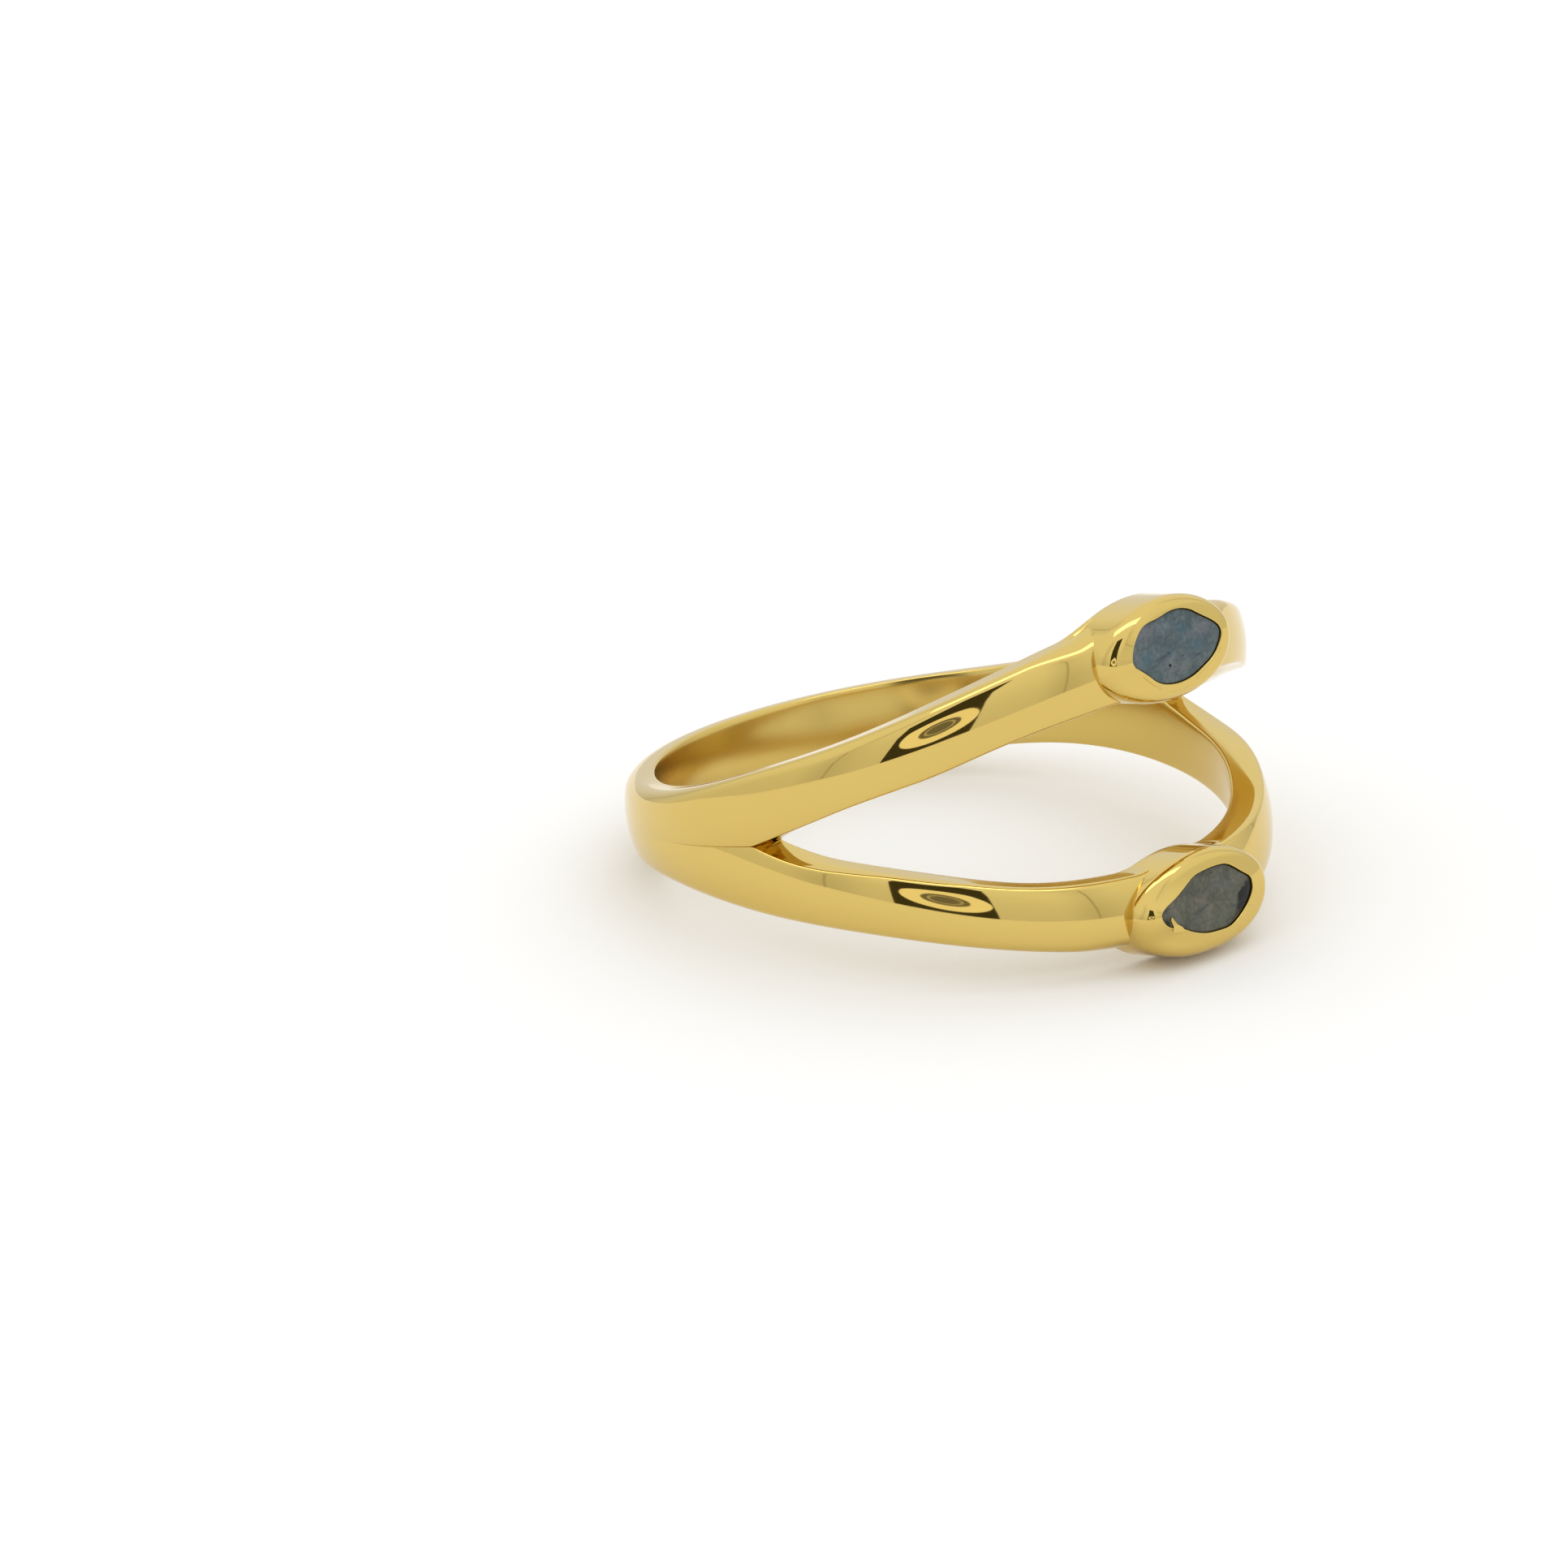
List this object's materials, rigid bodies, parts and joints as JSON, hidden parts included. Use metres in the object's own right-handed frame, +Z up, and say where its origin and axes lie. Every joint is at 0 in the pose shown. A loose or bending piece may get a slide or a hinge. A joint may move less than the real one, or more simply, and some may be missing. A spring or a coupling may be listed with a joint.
{
  "type": "labradorite ring",
  "caption": "Polished gold ring whose band forks into an upper and a lower arm, each with an oval bezel and a flush grey-blue stone, lying on its side.",
  "frame": {"origin": "middle of the footprint, on the surface that the ring lies on", "axes": "+Z up, +X along the arms at the front, and the two stones at the front face -Y"},
  "size_m": [0.0196, 0.0208, 0.0106],
  "materials": {
    "gold": "yellow gold plate over silver, mirror polished",
    "blue_labradorite": "labradorite tablet, polished, grey-blue",
    "grey_labradorite": "labradorite tablet, polished, dark grey"
  },
  "bodies": {
    "root": {"split_band": "gold", "upper_stone": "blue_labradorite", "lower_stone": "grey_labradorite"}
  },
  "joints": []
}
